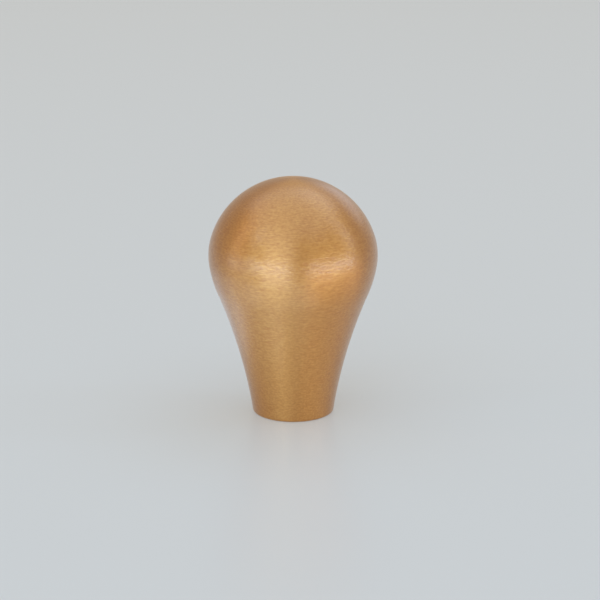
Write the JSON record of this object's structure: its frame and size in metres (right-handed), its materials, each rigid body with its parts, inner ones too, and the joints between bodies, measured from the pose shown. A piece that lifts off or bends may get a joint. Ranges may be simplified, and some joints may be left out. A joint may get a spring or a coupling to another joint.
{
  "type": "cabinet knob",
  "caption": "Teardrop cabinet knob turned from solid brass, with a domed crown, a hollow tapering neck, and a blind tapped hole in its flat base.",
  "frame": {"origin": "centre of the flat base, on the turning axis", "axes": "+Z along the turning axis, from the base to the crown; +X and +Y are equal, because the knob is round"},
  "size_m": [0.028, 0.028, 0.04],
  "materials": {
    "satin_metal": "satin brushed, lacquered"
  },
  "bodies": {
    "root": {"knob_body": "satin_metal"}
  },
  "joints": []
}
